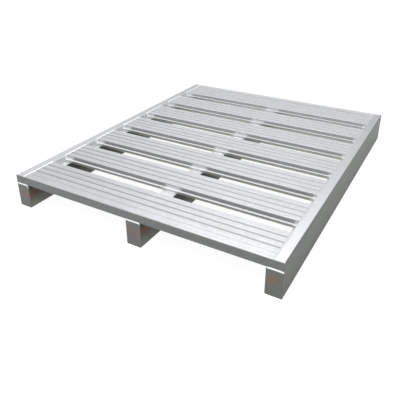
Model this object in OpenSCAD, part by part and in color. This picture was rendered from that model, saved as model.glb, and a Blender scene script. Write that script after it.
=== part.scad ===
// Two-way steel pallet: ribbed planks welded between two stepped side runners,
// over a box-section centre runner, with a folded beam across each end.
// Lengths are in millimetres. X runs along the planks, Y along the runners and Z up.
// The origin is on the floor, under the middle of the pallet; the front is at -Y.

/* [Overall] */
// Width of the pallet, along the planks
pallet_w = 1000; // [900:10:1200]
// Depth of the pallet, along the runners
pallet_d = 1250; // [1150:10:1500]
// Height of the fork space under the deck
fork_h = 90; // [60:1:120]
// Height of the deck, from the runners' seats to the load face
deck_h = 30; // [26:1:40]

/* [Runners] */
// Width of a side runner's rail, the part that stands level with the deck
rail_w = 35; // [25:1:50]
// Width of a side runner's seat, the step that carries the plank ends
seat_w = 17; // [12:1:30]
// Width of the centre runner
centre_w = 54; // [40:1:80]
// How far the centre runner stands to the right of the pallet's middle
centre_x = 7; // [-15:1:15]
// Sheet thickness of the runners
runner_t = 2; // [1.5:0.1:3]

/* [Planks] */
// Number of planks
plank_n = 7; // [4:1:8]
// Width of a plank, between its walls' outer faces
plank_w = 112; // [96:1:130]
// Sheet thickness of the planks
plank_t = 1.5; // [1:0.1:2]
// Number of grooves pressed into a plank
groove_n = 3; // [1:1:4]
// Width of a groove at the load face
groove_w = 7; // [6:0.5:9]
// Width of a groove's flat floor
groove_floor = 3; // [2:0.5:4]
// Depth of a groove
groove_d = 1.8; // [1.2:0.1:2.4]
// How far the folded fin stands out from a plank's wall
fin_l = 10; // [5:1:14]
// Depth of the fin's middle below the load face
fin_drop = 15; // [10:1:18]
// Width of the lip that turns in under each wall
lip_w = 14; // [8:1:25]

/* [End beams] */
// Depth of the front beam's flanges, measured from its outer face
front_beam_d = 30; // [22:1:45]
// Depth of the rear beam's flanges, measured from its outer face
rear_beam_d = 42; // [22:1:45]
// Sheet thickness of the end beams and of the runners' end caps
end_t = 2; // [1.5:0.1:3]

/* [Folds and welds] */
// Inside radius of every fold
fold_r = 1; // [0.6:0.1:1.5]
// Gap left where two edges are butted for welding
seam = 0.5; // [0.3:0.1:0.8]
// Width of the beads across the legs
leg_bead_w = 6; // [4:0.5:7]
// Height of the beads across the legs
leg_bead_h = 1.8; // [1:0.1:2]
// Width of the beads along the plank ends
end_bead_w = 6.5; // [5:0.5:8]
// How far the beads along the plank ends crown above the load face
end_bead_h = 0.8; // [0.4:0.1:1]
// How far the beads along the plank ends run on past the planks' walls
end_bead_wrap = 2; // [1:0.5:4]
// Size of the fillet beads in the corners under the plank ends
corner_bead = 5; // [3:0.5:7]
// Size of the fillet beads on the centre runner
centre_bead = 7; // [4:0.5:9]

/* [Hidden] */
top_z = fork_h + deck_h;
side_w = rail_w + seat_w;
rail_x = pallet_w / 2 - rail_w;
centre_left = centre_x - centre_w / 2;
centre_right = centre_x + centre_w / 2;
end_y = pallet_d / 2;
runner_l = pallet_d - 2 * end_t;
deck_x = rail_x - fold_r;
first_y = -end_y + front_beam_d + seam;
last_y = end_y - rear_beam_d - seam - plank_w;
pitch = (last_y - first_y) / (plank_n - 1);
fin_z = top_z - fin_drop;
rib_pitch = plank_w / (groove_n + 1);
runner_edge_r = fold_r + runner_t;
notch_d = fold_r + max(runner_t, plank_t);
fold_step = 22.5;
nose_sides = 24;
bead_sides = 32;
bead_step = 22.5;
bead_taper = 1.2 * leg_bead_h;
sheet_colour = [0.86, 0.87, 0.88];
face_colour = [0.55, 0.56, 0.56];
weld_colour = [0.97, 0.97, 0.97];

PLANKS = [for (i = [1:plank_n]) str("deck_plank_", i)];

// Geometry of folded sheet. A section is walked with its inside on the left hand.

function unit(v) = v / norm(v);
function left_of(v) = [-v[1], v[0]];
function turns_left(a, b, c) = cross(b - a, c - b) > 0;

// Radius of the fold at b: depth 0 is the outer skin, depth t is the inner skin
function fold_radius(a, b, c, t, depth) =
    turns_left(a, b, c) ? fold_r + t - depth : fold_r + depth;

// The corner b of a section, moved inwards by depth
function inset_corner(a, b, c, depth) =
    let (n1 = left_of(unit(b - a)), n2 = left_of(unit(c - b)))
    b + (n1 + n2) * depth / (1 + n1 * n2);

// Points of the arc of radius r that rounds the corner b between a and c
function rounded(a, b, c, r) =
    let (
        to_a = unit(a - b),
        to_c = unit(c - b),
        half = acos(to_a * to_c) / 2,
        centre = b + unit(to_a + to_c) * r / sin(half),
        start = b + to_a * r / tan(half) - centre,
        stop = b + to_c * r / tan(half) - centre,
        from = atan2(start[1], start[0]),
        turn = (atan2(stop[1], stop[0]) - from + 540) % 360 - 180,
        steps = max(1, round(abs(turn) / fold_step))
    )
    [for (i = [0:steps]) centre + r * [cos(from + turn * i / steps), sin(from + turn * i / steps)]];

// Rounded skin of an open section of sheet t thick, at a depth below its outer skin
function open_skin(p, t, depth) =
    let (
        last = len(p) - 1,
        head = p[0] + left_of(unit(p[1] - p[0])) * depth,
        tail = p[last] + left_of(unit(p[last] - p[last - 1])) * depth,
        q = concat([head], [for (i = [1:last - 1]) inset_corner(p[i - 1], p[i], p[i + 1], depth)], [tail])
    )
    concat([head], [for (i = [1:last - 1])
        each rounded(q[i - 1], q[i], q[i + 1], fold_radius(p[i - 1], p[i], p[i + 1], t, depth))], [tail]);

// Rounded skin of a closed section of sheet t thick, at a depth below its outer skin
function closed_skin(p, t, depth) =
    let (
        n = len(p),
        q = [for (i = [0:n - 1]) inset_corner(p[(i + n - 1) % n], p[i], p[(i + 1) % n], depth)]
    )
    [for (i = [0:n - 1]) let (a = (i + n - 1) % n, c = (i + 1) % n)
        each rounded(q[a], q[i], q[c], fold_radius(p[a], p[i], p[c], t, depth))];

function reversed(p) = [for (i = [len(p) - 1:-1:0]) p[i]];

module open_section(p, t) {
    polygon(concat(open_skin(p, t, 0), reversed(open_skin(p, t, t))));
}

module closed_section(p, t) {
    difference() {
        polygon(closed_skin(p, t, 0));
        polygon(closed_skin(p, t, t));
    }
}

// Lays a section drawn in X and Z along the runners, centred on the pallet
module along_y(length) {
    rotate([90, 0, 0]) linear_extrude(length, center = true) children();
}

// Lays a section drawn in Y and Z along the planks, centred on the pallet
module along_x(length) {
    rotate([90, 0, 90]) linear_extrude(length, center = true) children();
}

// Copies its children to the other side of the pallet
module on_right() {
    mirror([1, 0, 0]) children();
}

// Runners

side_outline = [[0, 0], [side_w, 0], [side_w, fork_h], [rail_w, fork_h], [rail_w, top_z], [0, top_z]];
centre_outline = [[centre_left, 0], [centre_right, 0], [centre_right, fork_h], [centre_left, fork_h]];

module side_runner() {
    color(sheet_colour) translate([-pallet_w / 2, 0, 0]) along_y(runner_l)
        closed_section(side_outline, runner_t);
}

module left_runner() {
    side_runner();
}

module right_runner() {
    on_right() side_runner();
}

module centre_runner() {
    color(sheet_colour) along_y(runner_l) closed_section(centre_outline, runner_t);
}

// End cap of a leg that is w wide: its lower corners follow the runner's folds
module cap_outline(w) {
    r = runner_edge_r;
    polygon(concat([[0, fork_h - seam]], rounded([0, fork_h], [0, 0], [w, 0], r),
        rounded([0, 0], [w, 0], [w, fork_h], r), [[w, fork_h - seam]]));
}

// Cap at the front end of a leg whose left edge is at x
module front_cap(x, w) {
    color(face_colour) translate([x, -end_y + end_t / 2, 0]) along_y(end_t) cap_outline(w);
}

module rear_cap(x, w) {
    mirror([0, 1, 0]) front_cap(x, w);
}

module left_front_cap() {
    front_cap(-pallet_w / 2, side_w);
}

module centre_front_cap() {
    front_cap(centre_left, centre_w);
}

module right_front_cap() {
    on_right() left_front_cap();
}

module left_rear_cap() {
    rear_cap(-pallet_w / 2, side_w);
}

module centre_rear_cap() {
    rear_cap(centre_left, centre_w);
}

module right_rear_cap() {
    on_right() left_rear_cap();
}

// End beams: a channel that opens towards the planks. Its face spans the pallet and
// its flanges are cut back to pass between the rails.

module end_beam(flange_d) {
    color(face_colour) translate([0, -end_y, fork_h]) difference() {
        along_x(pallet_w)
            open_section([[flange_d, deck_h], [0, deck_h], [0, 0], [flange_d, 0]], end_t);
        for (side = [-1, 1])
            translate([side * (deck_x + pallet_w / 2), end_t + pallet_d / 2, deck_h / 2])
                cube([pallet_w, pallet_d, 2 * deck_h], center = true);
    }
}

module front_beam() {
    end_beam(front_beam_d);
}

module rear_beam() {
    mirror([0, 1, 0]) end_beam(rear_beam_d);
}

// Planks

// Corners of one groove centred at y, from right to left
function groove(y) = [
    [y + groove_w / 2, deck_h],
    [y + groove_floor / 2, deck_h - groove_d],
    [y - groove_floor / 2, deck_h - groove_d],
    [y - groove_w / 2, deck_h]];

// Outer skin of the plank: lip, wall, grooved top, wall, lip
plank_outline = concat(
    [[plank_w - lip_w, 0], [plank_w, 0], [plank_w, deck_h]],
    [for (i = [groove_n:-1:1]) each groove(i * rib_pitch)],
    [[0, deck_h], [0, 0], [lip_w, 0]]);

// Fin folded flat out of the wall at y = 0, reaching to -Y
module fin_section() {
    translate([0, deck_h - fin_drop]) {
        translate([plank_t - fin_l, -plank_t]) square([fin_l - plank_t / 2, 2 * plank_t]);
        translate([plank_t - fin_l, 0]) circle(r = plank_t, $fn = nose_sides);
    }
}

module plank_section() {
    open_section(plank_outline, plank_t);
    fin_section();
    translate([plank_w, 0]) mirror([1, 0]) fin_section();
}

function plank_y(i) = first_y + (i - 1) * pitch;

module deck_plank(i) {
    color(sheet_colour) translate([0, plank_y(i), fork_h]) along_x(2 * deck_x) plank_section();
}

// Welds

// Radius of the circle whose cap is w wide and h high
function cap_radius(w, h) = (w * w / 4 + h * h) / (2 * h);

// Bead laid along X on the plane z = 0: a long barrel, sunk in the plane, whose ends
// taper down through it
module bead(length, w, h) {
    r = cap_radius(w, h);
    reach = length / 2 - w / 2;
    function end(side) = [for (a = [0:bead_step:90])
        [r - bead_taper * (1 - cos(a)), side * (reach + sin(a) * w / 2)]];
    intersection() {
        translate([0, 0, h - r]) rotate([0, 90, 0]) rotate_extrude($fn = bead_sides)
            polygon(concat(end(1), [[0, length / 2], [0, -length / 2]], reversed(end(-1))));
        translate([-length, -w, 0]) cube([2 * length, 2 * w, w]);
    }
}

// Fillet bead of size s along +X from the origin, in the corner of the +Y and +Z faces
module fillet_bead(length, s) {
    rotate([90, 0, 90]) linear_extrude(length) intersection() {
        circle(r = s, $fn = bead_sides);
        translate([-s, 0]) square(s);
    }
}

module leg_weld(x, w) {
    translate([x + w / 2, -end_y, fork_h - seam / 2]) rotate([90, 0, 0])
        bead(w - 2 * seam, leg_bead_w, leg_bead_h);
}

module front_leg_welds() {
    color(weld_colour) {
        leg_weld(-pallet_w / 2, side_w);
        leg_weld(centre_left, centre_w);
        leg_weld(pallet_w / 2 - side_w, side_w);
    }
}

module rear_leg_welds() {
    mirror([0, 1, 0]) front_leg_welds();
}

// Section of the bead that fills the notch between the left rail's fold and the deck
module end_bead_section() {
    r = cap_radius(end_bead_w, end_bead_h);
    difference() {
        intersection() {
            translate([-deck_x - end_bead_w / 2, top_z + end_bead_h - r]) circle(r = r, $fn = bead_sides);
            translate([-deck_x - end_bead_w, top_z - notch_d]) square([end_bead_w, notch_d + end_bead_h]);
        }
        translate([-pallet_w / 2, 0]) polygon(closed_skin(side_outline, runner_t, 0));
    }
}

module end_bead(from_y, to_y) {
    translate([0, (from_y + to_y) / 2, 0]) along_y(to_y - from_y) end_bead_section();
}

// Upright fillets where a plank's wall at y meets the rail, above and below the fin
module corner_welds(y, facing) {
    upper_end = top_z - fold_r - min(runner_t, plank_t) / 2;
    spans = [[fork_h + fold_r, fin_z - plank_t], [fin_z + plank_t, upper_end]];
    for (span = spans)
        translate([-rail_x, y, span[0]]) linear_extrude(span[1] - span[0]) intersection() {
            circle(r = corner_bead, $fn = bead_sides);
            translate([0, facing > 0 ? 0 : -corner_bead]) square(corner_bead);
        }
}

module left_plank_welds() {
    color(weld_colour) {
        for (i = [1:plank_n]) {
            near = plank_y(i);
            far = near + plank_w;
            end_bead(i > 1 ? near - end_bead_wrap : -end_y + runner_edge_r,
                i < plank_n ? far + end_bead_wrap : end_y - runner_edge_r);
            if (i > 1) corner_welds(near, -1);
            if (i < plank_n) corner_welds(far, 1);
        }
    }
}

module right_plank_welds() {
    on_right() left_plank_welds();
}

module centre_plank_welds() {
    run = centre_w - 2 * runner_edge_r;
    color(weld_colour) {
        for (i = [2:plank_n])
            translate([centre_x - run / 2, plank_y(i), fork_h]) fillet_bead(run, centre_bead);
    }
}

left_runner();
centre_runner();
right_runner();
left_front_cap();
centre_front_cap();
right_front_cap();
left_rear_cap();
centre_rear_cap();
right_rear_cap();
front_beam();
rear_beam();
for (i = [1:plank_n])
    deck_plank(i);
front_leg_welds();
rear_leg_welds();
left_plank_welds();
centre_plank_welds();
right_plank_welds();
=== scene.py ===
# %% [markdown]
# # Dressing a welded steel pallet
#
# The pallet comes into Blender as a finished frame of 23 nodes: runners, end caps, end
# beams, seven ribbed planks and five groups of weld beads. Its shapes are right already.
# This lesson gives it what a drawing lacks: zinc-coated sheet that loads have rubbed
# bright on top, rust on the legs, and beads with the ripples of a real arc.
#
# The first cell loads the frame and measures it. Everything else is placed from it, and
# every CAD node keeps its mesh. Only the weld beads are modelled anew, because in the
# frame they are plain bars.

# %% Load the frame
import math

import bmesh
import bpy
from mathutils import Matrix, Vector, noise


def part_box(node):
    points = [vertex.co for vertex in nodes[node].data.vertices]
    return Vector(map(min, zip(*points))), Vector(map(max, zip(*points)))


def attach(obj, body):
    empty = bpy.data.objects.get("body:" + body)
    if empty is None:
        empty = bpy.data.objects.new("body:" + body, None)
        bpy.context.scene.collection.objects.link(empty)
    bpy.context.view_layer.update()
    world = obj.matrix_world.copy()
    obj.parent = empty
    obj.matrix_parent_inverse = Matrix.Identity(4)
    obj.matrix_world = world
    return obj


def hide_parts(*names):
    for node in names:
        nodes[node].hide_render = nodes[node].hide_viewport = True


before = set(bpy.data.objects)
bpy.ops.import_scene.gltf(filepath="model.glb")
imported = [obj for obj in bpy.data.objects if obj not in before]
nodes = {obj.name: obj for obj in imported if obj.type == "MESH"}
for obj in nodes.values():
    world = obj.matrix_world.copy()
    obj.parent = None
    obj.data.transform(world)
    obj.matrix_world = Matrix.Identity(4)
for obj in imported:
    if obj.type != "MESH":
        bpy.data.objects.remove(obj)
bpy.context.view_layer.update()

MM = 0.001

# %% [markdown]
# ## Colours and nodes
#
# Colour charts give an sRGB hex code, but Blender's sockets hold linear light. One
# function turns the first into the second, so every colour below reads as a designer
# writes it. Another adds a node, sets it and wires it in one call.
#
# Sockets are reached by name, or by number where a node uses one name twice. On a Mix
# node, input 0 is the share of the second value, inputs 2 and 3 are the two numbers, and
# inputs 6 and 7 the two colours. Output 0 gives the mixed number, and output 2 the colour.

# %% Colour and node helpers
RGBA = {"data_type": "RGBA"}
SOFT = {"interpolation_type": "SMOOTHSTEP"}


def linear(hex_code):
    """The linear RGBA of an sRGB colour such as 8A8C86."""
    srgb = [int(hex_code[i:i + 2], 16) / 255 for i in (0, 2, 4)]
    return [c / 12.92 if c <= 0.04045 else ((c + 0.055) / 1.055) ** 2.4 for c in srgb] + [1.0]


def add(tree, kind, sockets=None, **settings):
    """Adds a shader node. Settings are its options; sockets gives an input a value or a link."""
    made = tree.nodes.new("ShaderNode" + kind)
    for name, value in settings.items():
        setattr(made, name, value)
    for name, value in (sockets or {}).items():
        if isinstance(value, bpy.types.NodeSocket):
            tree.links.new(value, made.inputs[name])
        else:
            made.inputs[name].default_value = value
    return made


def empty_tree(owner):
    """The emptied node tree of a material or of the world."""
    owner.use_nodes = True
    owner.node_tree.nodes.clear()
    return owner.node_tree


print("mid grey 808080 is", round(linear("808080")[0], 3), "in linear light")

# %% [markdown]
# ## The camera
#
# The photograph was taken from the front right, a little above the load, and then cropped
# upwards. A crop moves the centre of the lens away from the centre of the picture, and
# the camera's shift does the same. The place comes from a fit of the pallet's straight
# edges: which way the camera looks, how steeply, and how far off it stands.

# %% Camera
CAMERA_TURN = math.radians(29.52)
CAMERA_RISE = math.radians(25.08)
CAMERA_DISTANCE = 1.840
AIM = Vector((-0.0162, -0.1392, 0.120))
SENSOR, LENS = 36, 42.82
SHIFT = (-0.0098, -0.1187)
towards_camera = Vector((math.sin(CAMERA_TURN) * math.cos(CAMERA_RISE),
                         -math.cos(CAMERA_TURN) * math.cos(CAMERA_RISE),
                         math.sin(CAMERA_RISE)))

camera = bpy.data.objects.new("camera", bpy.data.cameras.new("camera"))
bpy.context.collection.objects.link(camera)
camera.data.sensor_width = SENSOR
camera.data.lens = LENS
camera.data.shift_x, camera.data.shift_y = SHIFT
camera.location = AIM + CAMERA_DISTANCE * towards_camera
camera.rotation_mode = "QUATERNION"
camera.rotation_quaternion = (-towards_camera).to_track_quat("-Z", "Y")
bpy.context.scene.camera = camera
print("camera, mm:", [round(c / MM) for c in camera.location])

# %% [markdown]
# ## Floor and backdrop
#
# The photograph's background is plain white. Strong lamps on a white floor would give
# that too, but they would bleach the steel, and the floor would bounce their light up
# under the deck. So a Light Path node tells the rays apart: the white that the camera
# sees is mostly glow, and the light that the floor scatters is a calm grey. Part of the
# white still comes from the lamps, so the soft shadow stays. Reflections get more of that
# part, because bright sheet shows how dark it really is under a pallet.

# %% Floor and world
WHITE = linear("FFFFFF")
SKY = {"Color": linear("C4C8CC"), "Strength": 0.72}
FLOOR_GREY = linear("727472")
SEEN_FLOOR = {"glow": 0.92, "lit": linear("898989")}
MIRRORED_FLOOR = {"glow": 0.37, "lit": linear("EDEDED")}


def seen(tree, *kinds):
    """1 for rays of the kinds that are named, such as Camera or Glossy, otherwise 0."""
    path = add(tree, "LightPath")
    total = path.outputs["Is %s Ray" % kinds[0]]
    for kind in kinds[1:]:
        total = add(tree, "Math", {0: total, 1: path.outputs["Is %s Ray" % kind]},
                    operation="MAXIMUM").outputs[0]
    return total


def white_floor(tree, glow, lit):
    """A floor that glows, and shows the lamps' light on top of that as far as lit is pale."""
    light = add(tree, "Emission", {"Color": WHITE, "Strength": glow})
    shaded = add(tree, "BsdfDiffuse", {"Color": lit})
    return add(tree, "AddShader", {0: light.outputs[0], 1: shaded.outputs[0]}).outputs[0]


world = bpy.data.worlds.new("studio")
bpy.context.scene.world = world
tree = empty_tree(world)
soft = add(tree, "Background", SKY)
white = add(tree, "Background", {"Color": WHITE, "Strength": 1.0})
sky = add(tree, "MixShader", {0: seen(tree, "Camera", "Glossy", "Transmission"),
                              1: soft.outputs[0], 2: white.outputs[0]})
add(tree, "OutputWorld", {"Surface": sky.outputs[0]})

floor_finish = bpy.data.materials.new("pale_floor")
tree = empty_tree(floor_finish)
grey = add(tree, "BsdfDiffuse", {"Color": FLOOR_GREY})
mirrored = add(tree, "MixShader", {0: seen(tree, "Glossy"), 1: grey.outputs[0],
                                   2: white_floor(tree, **MIRRORED_FLOOR)})
direct = add(tree, "MixShader", {0: seen(tree, "Camera", "Transmission"), 1: mirrored.outputs[0],
                                 2: white_floor(tree, **SEEN_FLOOR)})
add(tree, "OutputMaterial", {"Surface": direct.outputs[0]})

FLOOR_REACH = 30.0
mesh = bmesh.new()
bmesh.ops.create_grid(mesh, x_segments=1, y_segments=1, size=FLOOR_REACH)
floor = bpy.data.objects.new("floor", bpy.data.meshes.new("floor"))
mesh.to_mesh(floor.data)
mesh.free()
floor.data.materials.append(floor_finish)
bpy.context.collection.objects.link(floor)
print("floor reaches", FLOOR_REACH, "m each way")

# %% [markdown]
# ## Lamps
#
# The deck is much brighter than the upright faces, so the light comes from above. Sun
# lamps would give hard shadows that the photograph doesn't have, so all lamps are
# softboxes. A large one stands high behind, and a weak one lower behind it: their blurred
# reflections lie in the deck. A small one hangs close above the front edge, where the
# deck is brightest. The last stands high in front and lights the legs and the fins.
#
# How strong each one is was found by rendering them one at a time, and mixing the
# pictures until the tones of the deck, the sides and the gaps came out right, with the
# least white in a view from straight above.

# %% Softboxes
PALLET_MIDDLE = (0.0, 0.0, 0.1)


def softbox(name, spot, target, size, watts):
    """A square area lamp at a spot, turned to a target."""
    lamp = bpy.data.lights.new(name, "AREA")
    lamp.shape = "SQUARE"
    lamp.size = size
    lamp.energy = watts
    holder = bpy.data.objects.new(name, lamp)
    holder.location = spot
    holder.rotation_mode = "QUATERNION"
    holder.rotation_quaternion = (Vector(target) - Vector(spot)).to_track_quat("-Z", "Y")
    bpy.context.collection.objects.link(holder)


softbox("behind", spot=(-0.8, 2.4, 4.5), target=PALLET_MIDDLE, size=3.0, watts=47)
softbox("behind_low", spot=(-1.57, 2.78, 3.3), target=PALLET_MIDDLE, size=2.4, watts=4)
softbox("near", spot=(-0.1, -0.9, 1.5), target=(-0.1, -0.6, 0.1), size=1.4, watts=7)
softbox("front", spot=(0.2, -2.6, 3.6), target=(0.0, 0.2, 0.1), size=2.4, watts=56)

# %% [markdown]
# ## Where a finish starts and ends
#
# One sheet shows several finishes: tops that loads slide on, walls in the gaps, sides
# that forks pass. Which one a point gets follows from its height, its distance from the
# middle of the pallet and the way its face looks. Painting masks by hand would be another
# way, but such masks need an unwrapped mesh, and they slip when the steel changes. Here
# the heights and distances are read from the frame, so the finish moves with the steel.

# %% Heights and distances, in mm
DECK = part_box("left_runner")[1].z / MM
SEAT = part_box("centre_runner")[1].z / MM
LEG_SIDE = -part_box("left_front_cap")[1].x / MM
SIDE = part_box("right_runner")[1].x / MM
PLANK_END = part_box("deck_plank_1")[1].x / MM
END_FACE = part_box("rear_beam")[1].y / MM
CENTRE = (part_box("centre_runner")[0].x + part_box("centre_runner")[1].x) / 2 / MM
CENTRE_HALF = (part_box("centre_runner")[1].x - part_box("centre_runner")[0].x) / 2 / MM
FIN = (DECK + SEAT) / 2
GROOVE_DEPTH = 1.8
# A face turns from a side into a top while its normal's z passes from the first value to
# the second.
LOOKS_UP = (0.9, 0.995)
print("deck", DECK, "seat", SEAT, "leg side", LEG_SIDE, "plank end", PLANK_END, "mm")


def place(tree):
    """The point in mm, its x, y and z, and how far its face looks up, from 0 to 1."""
    where = add(tree, "TexCoord")
    point = add(tree, "VectorMath", {0: where.outputs["Object"], "Scale": 1 / MM}, operation="SCALE")
    parts = add(tree, "SeparateXYZ", {0: point.outputs[0]})
    facing = add(tree, "SeparateXYZ", {0: where.outputs["Normal"]})
    up = add(tree, "MapRange", {"Value": facing.outputs["Z"], "From Min": LOOKS_UP[0],
                                "From Max": LOOKS_UP[1]}, **SOFT)
    return point.outputs[0], parts.outputs, up.outputs[0]


# %% [markdown]
# ## Galvanised sheet
#
# The sheet is steel, dipped in molten zinc. New zinc is bright; in the open it grows a
# dull grey skin, which loads rub off the faces that they slide on. So a rubbed top is a
# metal that mirrors the lamps in a wide blur, and a weathered side is mostly plain grey.
# The sides' grey is much darker than the tops' colour: part of that is the weathered skin
# and part is painted shade, for faces that look away from the lamps above.
#
# Rolling leaves fine lines along the sheet, and the zinc froze in crystals about as large
# as a fingernail. A noise that is stretched along the sheet draws the lines, and a
# Voronoi pattern the crystals. An anisotropic shader could stretch the highlights too,
# but it needs a direction at every point, and the lines do nearly the same.

# %% Rolled lines and crystals
# Rolled lines and scratches are about 0.5 mm wide. They are drawn 2 to 3 mm wide, so that
# they show from where the camera stands. The three sizes are across, along and upwards.
ROLL_LINE, ROLL_LENGTH, ROLL_HEIGHT = 3.2, 420, 40
CRYSTAL = 9
CRYSTAL_SHARE = 0.12
# Noise seldom leaves this span, so the span is stretched to 0 and 1.
NOISE_SPAN = (0.3, 0.7)
GRAIN_DEPTH = 0.03


def sheet_grain(tree, point, lengths):
    """Rolled lines, drawn out by lengths in mm along x, y and z, over a faint crystal pattern."""
    drawn = add(tree, "Mapping", {"Vector": point, "Scale": [1 / n for n in lengths]})
    lines = add(tree, "TexNoise", {"Vector": drawn.outputs[0], "Scale": 1.0, "Detail": 5.0,
                                   "Roughness": 0.7})
    crystals = add(tree, "TexVoronoi", {"Vector": point, "Scale": 1 / CRYSTAL})
    shade = add(tree, "SeparateColor", {0: crystals.outputs["Color"]})
    grain = add(tree, "Mix", {0: CRYSTAL_SHARE, 2: lines.outputs[0], 3: shade.outputs[0]})
    return add(tree, "MapRange", {"Value": grain.outputs[0], "From Min": NOISE_SPAN[0],
                                  "From Max": NOISE_SPAN[1]}).outputs[0]


print("grain lifts the sheet by up to", GRAIN_DEPTH, "mm")

# %% [markdown]
# Loads leave more on a rubbed top than polish: faint stains as large as a hand, and long
# scratches where they were pushed on at a slant.

# %% Rubbed tops
STAIN_SIZE, STAIN_MOST = 70, 0.25
SCRATCH_WIDTH, SCRATCH_LENGTH, SCRATCH_TURN = 2, 150, math.radians(12)
# A mark fades in where its noise rises from the first value to the second.
STAIN_SPAN, SCRATCH_SPAN = (0.4, 0.7), (0.70, 0.78)
STAIN_COLOUR, SCRATCH_COLOUR = "B4B4AC", "DCDEDF"
DECK_ZINC = ("B1B3B7", "D3D4D8")
RAIL_ZINC = ("9FA0A4", "BEBFC3")


def rubbed_top(tree, point, grain, zinc):
    """The colour of zinc that loads have polished, with faint stains and slanting scratches."""
    skin = add(tree, "Mix", {0: grain, 6: linear(zinc[0]), 7: linear(zinc[1])}, **RGBA)
    clouds = add(tree, "TexNoise", {"Vector": point, "Scale": 1 / STAIN_SIZE, "Detail": 3.0})
    stain = add(tree, "MapRange", {"Value": clouds.outputs[0], "From Min": STAIN_SPAN[0],
                                   "From Max": STAIN_SPAN[1], "To Max": STAIN_MOST})
    skin = add(tree, "Mix", {0: stain.outputs[0], 6: skin.outputs[2], 7: linear(STAIN_COLOUR)}, **RGBA)
    slant = add(tree, "Mapping", {"Vector": point, "Rotation": (0, 0, SCRATCH_TURN),
                                  "Scale": (1 / SCRATCH_WIDTH, 1 / SCRATCH_LENGTH, 1 / ROLL_HEIGHT)})
    marks = add(tree, "TexNoise", {"Vector": slant.outputs[0], "Scale": 1.0, "Detail": 1.0})
    scratch = add(tree, "MapRange", {"Value": marks.outputs[0], "From Min": SCRATCH_SPAN[0],
                                     "From Max": SCRATCH_SPAN[1]})
    skin = add(tree, "Mix", {0: scratch.outputs[0], 6: skin.outputs[2], 7: linear(SCRATCH_COLOUR)},
               **RGBA)
    return skin.outputs[2]


print("rubbed zinc:", DECK_ZINC, "on the deck,", RAIL_ZINC, "on the rails")

# %% [markdown]
# Every finish ends in one principled shader. The same metallic and roughness values come
# back on each kind of sheet, so they are set once here. Rubbed zinc shows its metal,
# weathered zinc is mostly a grey skin, and paint hides the metal.

# %% Shader of every finish
RUBBED = {"metallic": 0.9, "roughness": 0.38}
WEATHERED = {"metallic": 0.3, "roughness": 0.45}
PAINTED = {"metallic": 0.05, "roughness": 0.5}


def finished(tree, colour, metallic, roughness, grain, depth):
    """Puts a principled shader on the tree; grain lifts the surface by up to depth mm."""
    lift = add(tree, "Bump", {"Height": grain, "Distance": depth * MM, "Strength": 1.0})
    skin = add(tree, "BsdfPrincipled", {"Base Color": colour, "Metallic": metallic,
                                        "Roughness": roughness, "Normal": lift.outputs[0]})
    add(tree, "OutputMaterial", {"Surface": skin.outputs[0]})


print("rubbed", RUBBED, "weathered", WEATHERED, "paint_and_painted_light", PAINTED)

# %% [markdown]
# ### Planks
#
# The planks are galvanised strip, roll-formed into ribs. Loads rub the tops bright, and
# the grooves, which no load touches, get a darker grey of painted shade. The upper walls
# stand in the shade of the gap and weather to a dull grey; their colour holds painted
# shade too, darker towards the fin and towards the front. Under the fin the colour is
# pale, partly painted light; towards the rear that sheet is more metallic, so it mirrors
# the bright floor.

# %% Where the planks change
# Each pair holds where a change starts and where it is done, in mm.
GROOVE_RIM = (DECK - 0.5, DECK - 1.3)
GROOVE_FLOOR = (DECK - GROOVE_DEPTH - 0.6, DECK - GROOVE_DEPTH - 0.2)
UNDER_FIN = (FIN, FIN - 2)
DOWN_THE_WALL = (DECK - 1, FIN + 4)
TO_REAR = (-0.6 * END_FACE, END_FACE)
planks = bpy.data.materials.new("galvanised_roll_formed_planks")
tree = empty_tree(planks)
point, at, up = place(tree)
grain = sheet_grain(tree, point, (ROLL_LENGTH, ROLL_LINE, ROLL_HEIGHT))

below_top = add(tree, "MapRange", {"Value": at["Z"], "From Min": GROOVE_RIM[0],
                                   "From Max": GROOVE_RIM[1]}, **SOFT)
above_wall = add(tree, "MapRange", {"Value": at["Z"], "From Min": GROOVE_FLOOR[0],
                                    "From Max": GROOVE_FLOOR[1]})
in_groove = add(tree, "Math", {0: below_top.outputs[0], 1: above_wall.outputs[0]}, operation="MULTIPLY")
below_fin = add(tree, "MapRange", {"Value": at["Z"], "From Min": UNDER_FIN[0],
                                   "From Max": UNDER_FIN[1]}, **SOFT)
towards_fin = add(tree, "MapRange", {"Value": at["Z"], "From Min": DOWN_THE_WALL[0],
                                     "From Max": DOWN_THE_WALL[1]})
towards_rear = add(tree, "MapRange", {"Value": at["Y"], "From Min": TO_REAR[0], "From Max": TO_REAR[1]})
print("grooves", GROOVE_DEPTH, "mm deep, fin", FIN, "mm above the floor")

# %% [markdown]
# The masks now share out the colours, and the same masks share out how metallic and how
# rough each place is. The order matters, because each mix covers what came before: walls
# first, then the tops, then the painted shade in the grooves.

# %% Plank sheet
# The walls' greys, at the front and at the rear, are weathered zinc with painted shade: each grows darker
# towards the fin, and the front is darker than the rear.
FRONT_WALL_ZINC_AND_SHADE = ("A3A4A5", "87888A")
REAR_WALL_ZINC_AND_SHADE = ("C8C9CA", "B6B7B8")
# Under the fin the sheet gets a pale colour, partly painted light in the shade of the fin.
UNDER_FIN_ZINC_AND_LIGHT = "EAEAE4"
SHELTERED_METALLIC = (0.25, 0.95)
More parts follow.
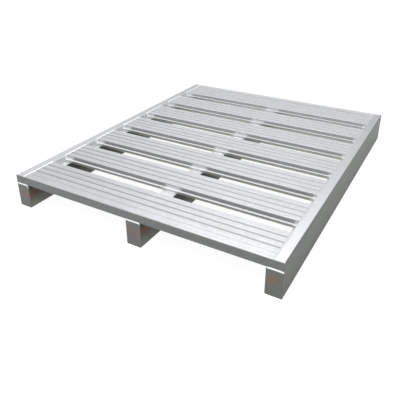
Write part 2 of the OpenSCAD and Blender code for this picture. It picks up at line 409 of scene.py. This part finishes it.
# The grooves get this darker grey as painted shade.
GROOVE_SHADE = "9C9EA0"
GROOVE_FINISH = {"metallic": 0.6, "roughness": 0.5}
top = rubbed_top(tree, point, grain, DECK_ZINC)
wall, rear_wall = [add(tree, "Mix", {0: towards_fin.outputs[0], 6: linear(zinc[0]), 7: linear(zinc[1])}, **RGBA)
               for zinc in (FRONT_WALL_ZINC_AND_SHADE, REAR_WALL_ZINC_AND_SHADE)]
wall = add(tree, "Mix", {0: towards_rear.outputs[0], 6: wall.outputs[2], 7: rear_wall.outputs[2]}, **RGBA)
wall = add(tree, "Mix", {0: below_fin.outputs[0], 6: wall.outputs[2], 7: linear(UNDER_FIN_ZINC_AND_LIGHT)}, **RGBA)
colour = add(tree, "Mix", {0: up, 6: wall.outputs[2], 7: top}, **RGBA)
colour = add(tree, "Mix", {0: in_groove.outputs[0], 6: colour.outputs[2], 7: linear(GROOVE_SHADE)}, **RGBA)

bare = add(tree, "Math", {0: below_fin.outputs[0], 1: towards_rear.outputs[0]}, operation="MULTIPLY")
metal = add(tree, "Mix", {0: bare.outputs[0], 2: SHELTERED_METALLIC[0], 3: SHELTERED_METALLIC[1]})
metal = add(tree, "Mix", {0: up, 2: metal.outputs[0], 3: RUBBED["metallic"]})
metal = add(tree, "Mix", {0: in_groove.outputs[0], 2: metal.outputs[0], 3: GROOVE_FINISH["metallic"]})
rough = add(tree, "Mix", {0: up, 2: WEATHERED["roughness"], 3: RUBBED["roughness"]})
rough = add(tree, "Mix", {0: in_groove.outputs[0], 2: rough.outputs[0], 3: GROOVE_FINISH["roughness"]})
print("walls:", FRONT_WALL_ZINC_AND_SHADE, "at the front,", REAR_WALL_ZINC_AND_SHADE, "at the rear")

# %% [markdown]
# A weld burns the zinc off, so welders spray the place with zinc paint, which dries matt
# and nearly white. The pale patches on the walls are partly that paint and partly a
# painted reflection of the bright seats and beads beside them: they reach further along
# the wall at its top than at its foot, further at the left ends than at the right, and
# their edge is ragged. The fin tops get a near-white colour along their whole length, a
# painted highlight. The masks are sums of distances: noise is added to the distance
# before the edge is cut, which tears the edge without changing its place.

# %% Where the planks were sprayed
# The pale wall patches below are partly zinc paint and partly painted reflection; the slant is the
# reflection's shift along the wall.
REFLECTION_SLANT = 0.45
PATCH_RAGGED = 14.0
PATCH_GRAIN = 9
# Each pale patch fades between two distances in mm, counted in from a plank's end, or out
# from the side of the centre runner.
LEFT_SPRAY_AND_REFLECTION = (34, 18)
MIDDLE_SPRAY_AND_REFLECTION, MIDDLE_SPRAY_AND_REFLECTION_AT = (10, -4), CENTRE + 4
RIGHT_SPRAY_AND_REFLECTION = (18, 6)
ragged = add(tree, "TexNoise", {"Vector": point, "Scale": 1 / PATCH_GRAIN, "Detail": 2.0})
level = add(tree, "Math", {0: at["Z"], 1: SEAT}, operation="SUBTRACT")
drift = add(tree, "Math", {0: level.outputs[0], 1: -REFLECTION_SLANT, 2: at["X"]}, operation="MULTIPLY_ADD")
torn = add(tree, "Math", {0: ragged.outputs[0], 1: 0.5}, operation="SUBTRACT")
drift = add(tree, "Math", {0: torn.outputs[0], 1: PATCH_RAGGED, 2: drift.outputs[0]},
            operation="MULTIPLY_ADD")
left_end = add(tree, "MapRange", {"Value": drift.outputs[0], "From Min": LEFT_SPRAY_AND_REFLECTION[0] - PLANK_END,
                                  "From Max": LEFT_SPRAY_AND_REFLECTION[1] - PLANK_END}, **SOFT)
off_centre = add(tree, "Math", {0: drift.outputs[0], 1: MIDDLE_SPRAY_AND_REFLECTION_AT}, operation="SUBTRACT")
off_centre = add(tree, "Math", {0: off_centre.outputs[0]}, operation="ABSOLUTE")
middle = add(tree, "MapRange", {"Value": off_centre.outputs[0], "From Min": CENTRE_HALF + MIDDLE_SPRAY_AND_REFLECTION[0],
                                "From Max": CENTRE_HALF + MIDDLE_SPRAY_AND_REFLECTION[1]}, **SOFT)
right_end = add(tree, "MapRange", {"Value": at["X"], "From Min": PLANK_END - RIGHT_SPRAY_AND_REFLECTION[0],
                                   "From Max": PLANK_END - RIGHT_SPRAY_AND_REFLECTION[1]}, **SOFT)
spray_and_reflection = add(tree, "Math", {0: left_end.outputs[0], 1: middle.outputs[0]}, operation="MAXIMUM")
spray_and_reflection = add(tree, "Math", {0: spray_and_reflection.outputs[0], 1: right_end.outputs[0]}, operation="MAXIMUM")
print("spray reaches", LEFT_SPRAY_AND_REFLECTION[0], "mm in from the left ends")

# %% [markdown]
# The pale colour lies on the sprayed walls and on the fins, and loads have rubbed it off
# the ribs. It is zinc paint with painted reflection on the walls, and a painted highlight
# on the fins. It is greyer on the upper walls than on and under the fins. Where its mask
# is 1, its colour, metallic value and roughness take the place of the zinc's.

# %% Zinc paint on the planks
# The thin grey goes on the upper walls, the near white on and under the fins and on the seats; both are
# partly zinc paint and partly painted light.
THIN_PAINT_AND_REFLECTION, ZINC_PAINT_AND_LIGHT = "DCDEDF", "FAFAFA"
FIN_TOP = (FIN + 2.5, FIN + 2.0)
UNDER_RIBS = (DECK - 2, DECK - 3)
at_fin = add(tree, "MapRange", {"Value": at["Z"], "From Min": FIN_TOP[0], "From Max": FIN_TOP[1]})
fin_top = add(tree, "Math", {0: up, 1: at_fin.outputs[0]}, operation="MULTIPLY")
paint_and_painted_light = add(tree, "Math", {0: spray_and_reflection.outputs[0], 1: fin_top.outputs[0]}, operation="MAXIMUM")
under_top = add(tree, "MapRange", {"Value": at["Z"], "From Min": UNDER_RIBS[0],
                                   "From Max": UNDER_RIBS[1]})
paint_and_painted_light = add(tree, "Math", {0: paint_and_painted_light.outputs[0], 1: under_top.outputs[0]}, operation="MULTIPLY")
paint_colour_and_light = add(tree, "Mix", {0: below_fin.outputs[0], 6: linear(THIN_PAINT_AND_REFLECTION), 7: linear(ZINC_PAINT_AND_LIGHT)}, **RGBA)
paint_colour_and_light = add(tree, "Mix", {0: fin_top.outputs[0], 6: paint_colour_and_light.outputs[2], 7: linear(ZINC_PAINT_AND_LIGHT)}, **RGBA)

colour = add(tree, "Mix", {0: paint_and_painted_light.outputs[0], 6: colour.outputs[2], 7: paint_colour_and_light.outputs[2]}, **RGBA)
metal = add(tree, "Mix", {0: paint_and_painted_light.outputs[0], 2: metal.outputs[0], 3: PAINTED["metallic"]})
rough = add(tree, "Mix", {0: paint_and_painted_light.outputs[0], 2: rough.outputs[0], 3: PAINTED["roughness"]})
finished(tree, colour.outputs[2], metal.outputs[0], rough.outputs[0], grain, GRAIN_DEPTH)
print(planks.name, len(tree.nodes), "nodes")

# %% [markdown]
# ### Rust
#
# Rust starts where the zinc is thin and spray from the road stands: on the leg ends and
# on the fork sides next to them, in a soft band around mid height. It is young rust, a
# reddish brown film with no flakes, so it changes the colour and not the shape. Clouds of
# noise as large as a coin break the band up.

# %% Rust
RUST = linear("A06A58")
# The band is strongest within its core, and gone as far up and down as it spreads.
RUST_HEIGHT, RUST_CORE, RUST_SPREAD = 0.58 * SEAT, 2, 0.30 * SEAT
# Between the clouds the least share of the rust is left.
RUST_CLOUD, RUST_SPAN, RUST_LEAST = 30, (0.34, 0.66), 0.15
# From an end inwards, rust is full for this share of its reach.
RUST_FULL = 0.3


def rusty(tree, point, at, colour, reach, most):
    """The colour with a band of rust, up to a share of most, within reach mm of the ends."""
    cloud = add(tree, "TexNoise", {"Vector": point, "Scale": 1 / RUST_CLOUD, "Detail": 4.0,
                                   "Roughness": 0.55})
    cloud = add(tree, "MapRange", {"Value": cloud.outputs[0], "From Min": RUST_SPAN[0],
                                   "From Max": RUST_SPAN[1], "To Min": RUST_LEAST * most,
                                   "To Max": most}, **SOFT)
    off_band = add(tree, "Math", {0: at["Z"], 1: RUST_HEIGHT}, operation="SUBTRACT")
    off_band = add(tree, "Math", {0: off_band.outputs[0]}, operation="ABSOLUTE")
    band = add(tree, "MapRange", {"Value": off_band.outputs[0], "From Min": RUST_SPREAD,
                                  "From Max": RUST_CORE}, **SOFT)
    along = add(tree, "Math", {0: at["Y"]}, operation="ABSOLUTE")
    end = add(tree, "MapRange", {"Value": along.outputs[0], "From Min": END_FACE - reach,
                                 "From Max": END_FACE - RUST_FULL * reach}, **SOFT)
    there = add(tree, "Math", {0: cloud.outputs[0], 1: band.outputs[0]}, operation="MULTIPLY")
    there = add(tree, "Math", {0: there.outputs[0], 1: end.outputs[0]}, operation="MULTIPLY")
    return add(tree, "Mix", {0: there.outputs[0], 6: colour, 7: RUST}, **RGBA).outputs[2]


print("rust band, mm:", round(RUST_HEIGHT - RUST_SPREAD), "to", round(RUST_HEIGHT + RUST_SPREAD))

# %% [markdown]
# ### Runners
#
# Each runner is folded from galvanised sheet. Its faces are told apart by how far they
# are from the middle of the pallet. The fork sides come first, and both sides of the
# centre runner are among them. Then come the seats and the walls inside the gaps, and
# last the outer sides. The tops are the faces that look up.

# %% Where the runners change
# The seats and inner walls turn near white up to this edge, partly zinc paint and partly painted light.
PALE_SEAT_EDGE = (PLANK_END + 3, PLANK_END + 2)
AT_SEAT = (SEAT - 3, SEAT - 0.5)
FORK_SIDE = (LEG_SIDE + 2, LEG_SIDE + 1)
# Over these heights the fork sides turn paler towards the floor, painted light.
FLOOR_BOUNCE_HEIGHTS = (0.7 * SEAT, 0.1 * SEAT)
TO_FRONT = (0.8 * END_FACE, -END_FACE)
runners = bpy.data.materials.new("galvanised_folded_runners")
tree = empty_tree(runners)
point, at, up = place(tree)
grain = sheet_grain(tree, point, (ROLL_LINE, ROLL_LENGTH, ROLL_HEIGHT))
off_middle = add(tree, "Math", {0: at["X"]}, operation="ABSOLUTE")
inside = add(tree, "MapRange", {"Value": off_middle.outputs[0], "From Min": PALE_SEAT_EDGE[0],
                                "From Max": PALE_SEAT_EDGE[1]})
from_seat = add(tree, "MapRange", {"Value": at["Z"], "From Min": AT_SEAT[0], "From Max": AT_SEAT[1]}, **SOFT)
paint_and_painted_light = add(tree, "Math", {0: inside.outputs[0], 1: from_seat.outputs[0]}, operation="MULTIPLY")
fork_side = add(tree, "MapRange", {"Value": off_middle.outputs[0], "From Min": FORK_SIDE[0],
                                   "From Max": FORK_SIDE[1]})
low = add(tree, "MapRange", {"Value": at["Z"], "From Min": FLOOR_BOUNCE_HEIGHTS[0], "From Max": FLOOR_BOUNCE_HEIGHTS[1]}, **SOFT)
to_front = add(tree, "MapRange", {"Value": at["Y"], "From Min": TO_FRONT[0], "From Max": TO_FRONT[1]})
print("paint reaches", PALE_SEAT_EDGE[1], "mm out from the middle")

# %% [markdown]
# The rails' tops are rubbed less than the planks, so they are duller, and towards the
# front they are paler, a painted highlight. The outer sides are weathered grey with
# painted shade, darker towards the front. The fork sides are darker still, painted shade
# under the deck, and paler near the floor, painted light from the floor. The seats and
# the inner walls between the planks are near white, partly zinc paint after the welding
# and partly painted light.

# %% Runner sheet
# The outer sides' grey is weathered zinc with painted shade, and darker towards the front.
OUTER_ZINC_AND_SHADE = ("6F716A", "81837C")
FRONT_OUTER_SHADE = ("60625B", "72746D")
# The fork sides are dark as painted shade under the deck; near the floor they turn paler, painted light.
FORK_SIDE_SHADE = ("50504A", "66665F")
FLOOR_BOUNCE_LIGHT = "A0A097"
# Towards the front the rail tops turn paler, a painted highlight.
FRONT_RAIL_HIGHLIGHT = "CDCED1"
outer, front_outer, inner = [add(tree, "Mix", {0: grain, 6: linear(zinc[0]), 7: linear(zinc[1])}, **RGBA)
                       for zinc in (OUTER_ZINC_AND_SHADE, FRONT_OUTER_SHADE, FORK_SIDE_SHADE)]
outer = add(tree, "Mix", {0: to_front.outputs[0], 6: outer.outputs[2], 7: front_outer.outputs[2]}, **RGBA)
inner = add(tree, "Mix", {0: low.outputs[0], 6: inner.outputs[2], 7: linear(FLOOR_BOUNCE_LIGHT)}, **RGBA)
inner = rusty(tree, point, at, inner.outputs[2], reach=110, most=0.8)
side = add(tree, "Mix", {0: fork_side.outputs[0], 6: outer.outputs[2], 7: inner}, **RGBA)
top = rubbed_top(tree, point, grain, RAIL_ZINC)
top = add(tree, "Mix", {0: to_front.outputs[0], 6: top, 7: linear(FRONT_RAIL_HIGHLIGHT)}, **RGBA)
colour = add(tree, "Mix", {0: up, 6: side.outputs[2], 7: top.outputs[2]}, **RGBA)
colour = add(tree, "Mix", {0: paint_and_painted_light.outputs[0], 6: colour.outputs[2], 7: linear(ZINC_PAINT_AND_LIGHT)}, **RGBA)
metal = add(tree, "Mix", {0: up, 2: WEATHERED["metallic"], 3: RUBBED["metallic"]})
metal = add(tree, "Mix", {0: paint_and_painted_light.outputs[0], 2: metal.outputs[0], 3: PAINTED["metallic"]})
rough = add(tree, "Mix", {0: up, 2: WEATHERED["roughness"], 3: RUBBED["roughness"]})
finished(tree, colour.outputs[2], metal.outputs[0], rough.outputs[0], grain, GRAIN_DEPTH)
print(runners.name, len(tree.nodes), "nodes")

# %% [markdown]
# ### Beams
#
# The end beams are folded from the same sheet. Their top flange is rubbed like the
# planks, and their face is weathered and darker, partly painted shade, with the rolled
# lines running across the pallet.

# %% Beam sheet
BEAM_ZINC_AND_SHADE = ("787D7C", "8B8E8B")
beams = bpy.data.materials.new("galvanised_folded_beams")
tree = empty_tree(beams)
point, _, up = place(tree)
grain = sheet_grain(tree, point, (ROLL_LENGTH, ROLL_LINE, ROLL_LINE))
face = add(tree, "Mix", {0: grain, 6: linear(BEAM_ZINC_AND_SHADE[0]), 7: linear(BEAM_ZINC_AND_SHADE[1])}, **RGBA)
top = rubbed_top(tree, point, grain, DECK_ZINC)
colour = add(tree, "Mix", {0: up, 6: face.outputs[2], 7: top}, **RGBA)
metal = add(tree, "Mix", {0: up, 2: WEATHERED["metallic"], 3: RUBBED["metallic"]})
rough = add(tree, "Mix", {0: up, 2: WEATHERED["roughness"], 3: RUBBED["roughness"]})
finished(tree, colour.outputs[2], metal.outputs[0], rough.outputs[0], grain, GRAIN_DEPTH)
print(beams.name, len(tree.nodes), "nodes")

# %% [markdown]
# ### Leg caps
#
# The caps are cut from galvanised sheet and have no rubbed face at all. Their dark grey is
# weathered zinc and partly painted shade. They are rougher than the beams, because they
# take the road's spray, and the rust shows best on them. Their rolled lines stand upright.

# %% Cap sheet
# The caps' lines are broken up by spray and dirt, so they are drawn 5 mm wide.
CAP_LINE, CAP_LENGTH = 5, 60
CAP_ZINC_AND_SHADE = ("757773", "858782")
CAP_ROUGHNESS = 0.5
caps = bpy.data.materials.new("galvanised_cut_caps")
tree = empty_tree(caps)
point, at, _ = place(tree)
grain = sheet_grain(tree, point, (CAP_LINE, CAP_LINE, CAP_LENGTH))
skin = add(tree, "Mix", {0: grain, 6: linear(CAP_ZINC_AND_SHADE[0]), 7: linear(CAP_ZINC_AND_SHADE[1])}, **RGBA)
colour = rusty(tree, point, at, skin.outputs[2], reach=60, most=0.5)
finished(tree, colour, WEATHERED["metallic"], CAP_ROUGHNESS, grain, GRAIN_DEPTH)
print(caps.name, len(tree.nodes), "nodes")

# %% [markdown]
# ### Weld metal
#
# The beads were laid by an arc welder with a steel wire. A bead is bare, shiny metal
# that mirrors the white studio, under a fine grit of slag; its near-white colour adds a
# painted highlight to that reflection. The beads beside the right rail, on the deck, get
# a duller grey without that painted highlight.

# %% Weld metal
# Slag grit is about 0.5 mm wide. It is drawn 1.5 mm wide, so that it shows.
SLAG_GRIT, GRIT_HEIGHT = 1.5, 0.1
WELD_METAL_AND_HIGHLIGHT, WELD_METAL_WITHOUT_HIGHLIGHT = ("F2F2F2", "FFFFFF"), "C8CACC"
BARE = {"metallic": 0.75, "roughness": 0.28}
RIGHT_SEAM = (PLANK_END - 10, PLANK_END - 8)
NEAR_DECK = (DECK - 8, DECK - 4)
weld_metal = bpy.data.materials.new("arc_weld_metal")
tree = empty_tree(weld_metal)
point, at, _ = place(tree)
grit = add(tree, "TexNoise", {"Vector": point, "Scale": 1 / SLAG_GRIT, "Detail": 2.0})
bright_weld = add(tree, "Mix", {0: grit.outputs[0], 6: linear(WELD_METAL_AND_HIGHLIGHT[0]), 7: linear(WELD_METAL_AND_HIGHLIGHT[1])}, **RGBA)
on_right = add(tree, "MapRange", {"Value": at["X"], "From Min": RIGHT_SEAM[0], "From Max": RIGHT_SEAM[1]})
on_deck = add(tree, "MapRange", {"Value": at["Z"], "From Min": NEAR_DECK[0], "From Max": NEAR_DECK[1]})
without_highlight = add(tree, "Math", {0: on_right.outputs[0], 1: on_deck.outputs[0]}, operation="MULTIPLY")
colour = add(tree, "Mix", {0: without_highlight.outputs[0], 6: bright_weld.outputs[2], 7: linear(WELD_METAL_WITHOUT_HIGHLIGHT)}, **RGBA)
finished(tree, colour.outputs[2], BARE["metallic"], BARE["roughness"], grit.outputs[0], GRIT_HEIGHT)
print(weld_metal.name, len(tree.nodes), "nodes")

# %% [markdown]
# ## Weld beads
#
# A bead is a row of small puddles, each frozen over the edge of the one before it. A bump
# texture could draw the ripples, but the outline would stay straight, and beads are seen
# mostly by their outline. So a bead is made the way a welder makes it: a ring starts at
# one end and is extruded step by step along the seam. Each step swells and shrinks a
# little with the ripples and wanders a little with the hand.

# %% One ring of a bead
# Puddles are 1 to 2 mm apart. They are drawn 2.4 mm apart, so that they show.
RIPPLE = 2.4
RING_STEP = 0.8
RING_SIDES = 12
WANDER = 14.0
SWELL = 0.10
SWAY = 0.22
# Every bead reads the noise from its own place, and the sway reads it at another pace.
SWELL_PLACE, SWAY_PLACE, SWAY_PACE = 0.37, 0.21, 1.7
BLUNT_END = 0.02


def ring_place(start, along, up, sizes, travelled, length):
    """The matrix that sets a unit ring across the seam at a distance from its start."""
    across = along.cross(up)
    half_width, height, sink = sizes
    phase = travelled / RIPPLE % 1.0
    unsteady = noise.noise(start * SWELL_PLACE + along * travelled / WANDER)
    swell = 1.0 + SWELL * (1.0 - phase) + SWELL * unsteady
    sway = SWAY * half_width * noise.noise(start * SWAY_PLACE - along * travelled / WANDER * SWAY_PACE)
    to_end = min(travelled, length - travelled)
    round_off = math.sqrt(max(BLUNT_END, 1.0 - max(0.0, 1.0 - to_end / half_width) ** 2))
    spread = Matrix.Diagonal((half_width * swell * round_off, height * swell * round_off, 1.0, 1.0))
    turn = Matrix((across, up, along)).transposed().to_4x4()
    centre = start + along * travelled + across * sway - up * sink
    return Matrix.Translation(centre) @ turn @ spread


print("ripples", RIPPLE, "mm apart,", RING_SIDES, "sides to a ring")

# %% [markdown]
# The ring is bent forward at its crest, which gives the crescents of a real bead. Each
# extruded ring is carried from its last place to the next by one matrix. The ends are
# closed by a face each, and the lower half lies in the steel and doesn't show.

# %% One bead
CRESCENT = 0.5
FEWEST_STEPS = 4


def lay_bead(start, stop, up, sizes):
    """A mesh with a ring extruded along the seam from start to stop. Lengths are in mm."""
    mesh = bmesh.new()
    start, stop, up = Vector(start), Vector(stop), Vector(up).normalized()
    length = (stop - start).length
    along = (stop - start) / length
    steps = max(FEWEST_STEPS, round(length / RING_STEP))
    places = [ring_place(start, along, up, sizes, length * i / steps, length) for i in range(steps + 1)]
    ring = bmesh.ops.create_circle(mesh, cap_ends=True, segments=RING_SIDES, radius=1.0)["verts"]
    for vert in ring:
        vert.co.z = CRESCENT * max(0.0, vert.co.y)
    bmesh.ops.transform(mesh, matrix=places[0], verts=ring)
    edges = list(mesh.edges)
    for before, after in zip(places, places[1:]):
        grown = bmesh.ops.extrude_edge_only(mesh, edges=edges)["geom"]
        ring = [g for g in grown if isinstance(g, bmesh.types.BMVert)]
        edges = [g for g in grown if isinstance(g, bmesh.types.BMEdge)]
        bmesh.ops.transform(mesh, matrix=after @ before.inverted(), verts=ring)
    bmesh.ops.contextual_create(mesh, geom=edges)
    bmesh.ops.recalc_face_normals(mesh, faces=mesh.faces)
    bead = bpy.data.meshes.new("bead")
    mesh.to_mesh(bead)
    mesh.free()
    return bead


print("the crest of each ring leads by", CRESCENT, "mm")

# %% [markdown]
# All the beads of one group become one piece, which stands for the plain bars of the
# frame. It rides on the pallet's only body.

# %% One piece from many beads
def weld_piece(name, beads, replaced):
    """One object from a list of beads, standing for a CAD node."""
    mesh = bmesh.new()
    for seam in beads:
        bead = lay_bead(*seam)
        mesh.from_mesh(bead)
        bpy.data.meshes.remove(bead)
    bmesh.ops.scale(mesh, vec=(MM, MM, MM), verts=mesh.verts)
    for face in mesh.faces:
        face.smooth = True
    piece = bpy.data.objects.new(name, bpy.data.meshes.new(name))
    mesh.to_mesh(piece.data)
    mesh.free()
    piece.data.materials.append(weld_metal)
    bpy.context.collection.objects.link(piece)
    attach(piece, "root")
    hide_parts(replaced)
    print(name, len(beads), "beads", len(piece.data.polygons), "faces")


# %% [markdown]
# ### Seams
#
# The seams run where sheets meet: across each leg under the beam, along the ends of the
# planks, up the corners between plank walls and rails, and along the foot of each wall
# on the centre runner. At each leg a little metal ran down the corner. A bead's sizes are
# half its width, its height above the seam, and how far its middle is sunk.

# %% Beads at the legs
UP, FRONT, REAR = (0, 0, 1), (0, -1, 0), (0, 1, 0)
LEG_BEAD = (2.9, 1.45, 0.0)
LEG_INSET, BELOW_BEAM = 0.5, 0.3
RUN_BEAD = (1.2, 1.0, 0.0)
# How far in from the corner a run is, and how far under the seat it starts and stops.
RUN_INSET, RUN_START, RUN_STOPS = 2, 1, (12, 6, 4)
LEG_SPANS = [(-SIDE, -LEG_SIDE), (CENTRE - CENTRE_HALF, CENTRE + CENTRE_HALF), (LEG_SIDE, SIDE)]


def leg_beads(end, out):
    """A bead across each leg, under the beam at that end, and its run down the leg's corner."""
    beads = []
    seam_z = SEAT - BELOW_BEAM
    for (lo, hi), run_stop in zip(LEG_SPANS, RUN_STOPS):
        beads.append(((lo + LEG_INSET, end, seam_z), (hi - LEG_INSET, end, seam_z), out, LEG_BEAD))
        corner = hi - RUN_INSET
        beads.append(((corner, end, SEAT - RUN_START), (corner, end, SEAT - run_stop), out, RUN_BEAD))
    return beads


weld_piece("front_leg_beads", leg_beads(-END_FACE, FRONT), "front_leg_welds")
weld_piece("rear_leg_beads", leg_beads(END_FACE, REAR), "rear_leg_welds")

# %% [markdown]
# Beside a rail the bead runs on past its plank, up to the next gap, and at the two ends
# of the pallet it runs out to the beams. The bead is nearly flat, because loads slide
# over it. In the corners a thick bead fills the angle between wall and rail.

# %% Beads at the plank ends
FIN_REACH = 10.0
RAIL_BEAD = (3.2, 0.84, 0.2)
CORNER_BEAD = (3.6, 3.2, 0.4)
RAIL_SEAM, CORNER_SEAM = PLANK_END + 3.0, PLANK_END + 1.0
SHORT_OF_BEAM, PAST_WALL = 3, 2
CORNER_FOOT, CORNER_TOP = SEAT + 1, DECK - 2
plank_names = sorted(n for n in nodes if n.startswith("deck_plank_"))
walls = [(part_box(n)[0].y / MM + FIN_REACH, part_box(n)[1].y / MM - FIN_REACH) for n in plank_names]


def end_beads(side):
    """Beads along the plank ends of one side, and up the corners of the walls."""
    seam_x, corner_x = side * RAIL_SEAM, side * CORNER_SEAM
    beads = []
    for i, (near, far) in enumerate(walls):
        first, last = i == 0, i == len(walls) - 1
        seam_start = -END_FACE + SHORT_OF_BEAM if first else near - PAST_WALL
        seam_stop = END_FACE - SHORT_OF_BEAM if last else far + PAST_WALL
        beads.append(((seam_x, seam_start, DECK), (seam_x, seam_stop, DECK), UP, RAIL_BEAD))
        for wall_y, out, in_gap in ((near, -1, not first), (far, 1, not last)):
            if in_gap:
                beads.append(((corner_x, wall_y, CORNER_FOOT), (corner_x, wall_y, CORNER_TOP),
                              (-side, out, 0), CORNER_BEAD))
    return beads


weld_piece("left_plank_beads", end_beads(-1), "left_plank_welds")
weld_piece("right_plank_beads", end_beads(1), "right_plank_welds")

# %% [markdown]
# On the centre runner a bead lies at the foot of each wall that faces the front.

# %% Beads on the centre runner
CENTRE_BEAD, CENTRE_INSET = (4.9, 4.6, 0.4), 3
FRONT_AND_UP = (0, -1, 1)


def centre_beads():
    """A bead at the foot of each near wall, across the centre runner."""
    reach = CENTRE_HALF - CENTRE_INSET
    return [((CENTRE - reach, near, SEAT), (CENTRE + reach, near, SEAT), FRONT_AND_UP, CENTRE_BEAD)
            for near, far in walls[1:]]


weld_piece("centre_plank_beads", centre_beads(), "centre_plank_welds")

# %% [markdown]
# ## Dressing the nodes
#
# Each CAD node keeps its mesh and gets its finish by the kind of sheet that it is.

# %% Put the finishes on
FINISHES = {"deck_plank": planks, "runner": runners, "beam": beams, "cap": caps, "welds": weld_metal}
for name, piece in nodes.items():
    piece.data.materials.clear()
    piece.data.materials.append(next(f for key, f in FINISHES.items() if key in name))
print("dressed", len(nodes), "nodes")

# %% [markdown]
# ## View transform
#
# The last cell sets the view transform to Standard.

# %% Finish
bpy.context.scene.view_settings.view_transform = "Standard"
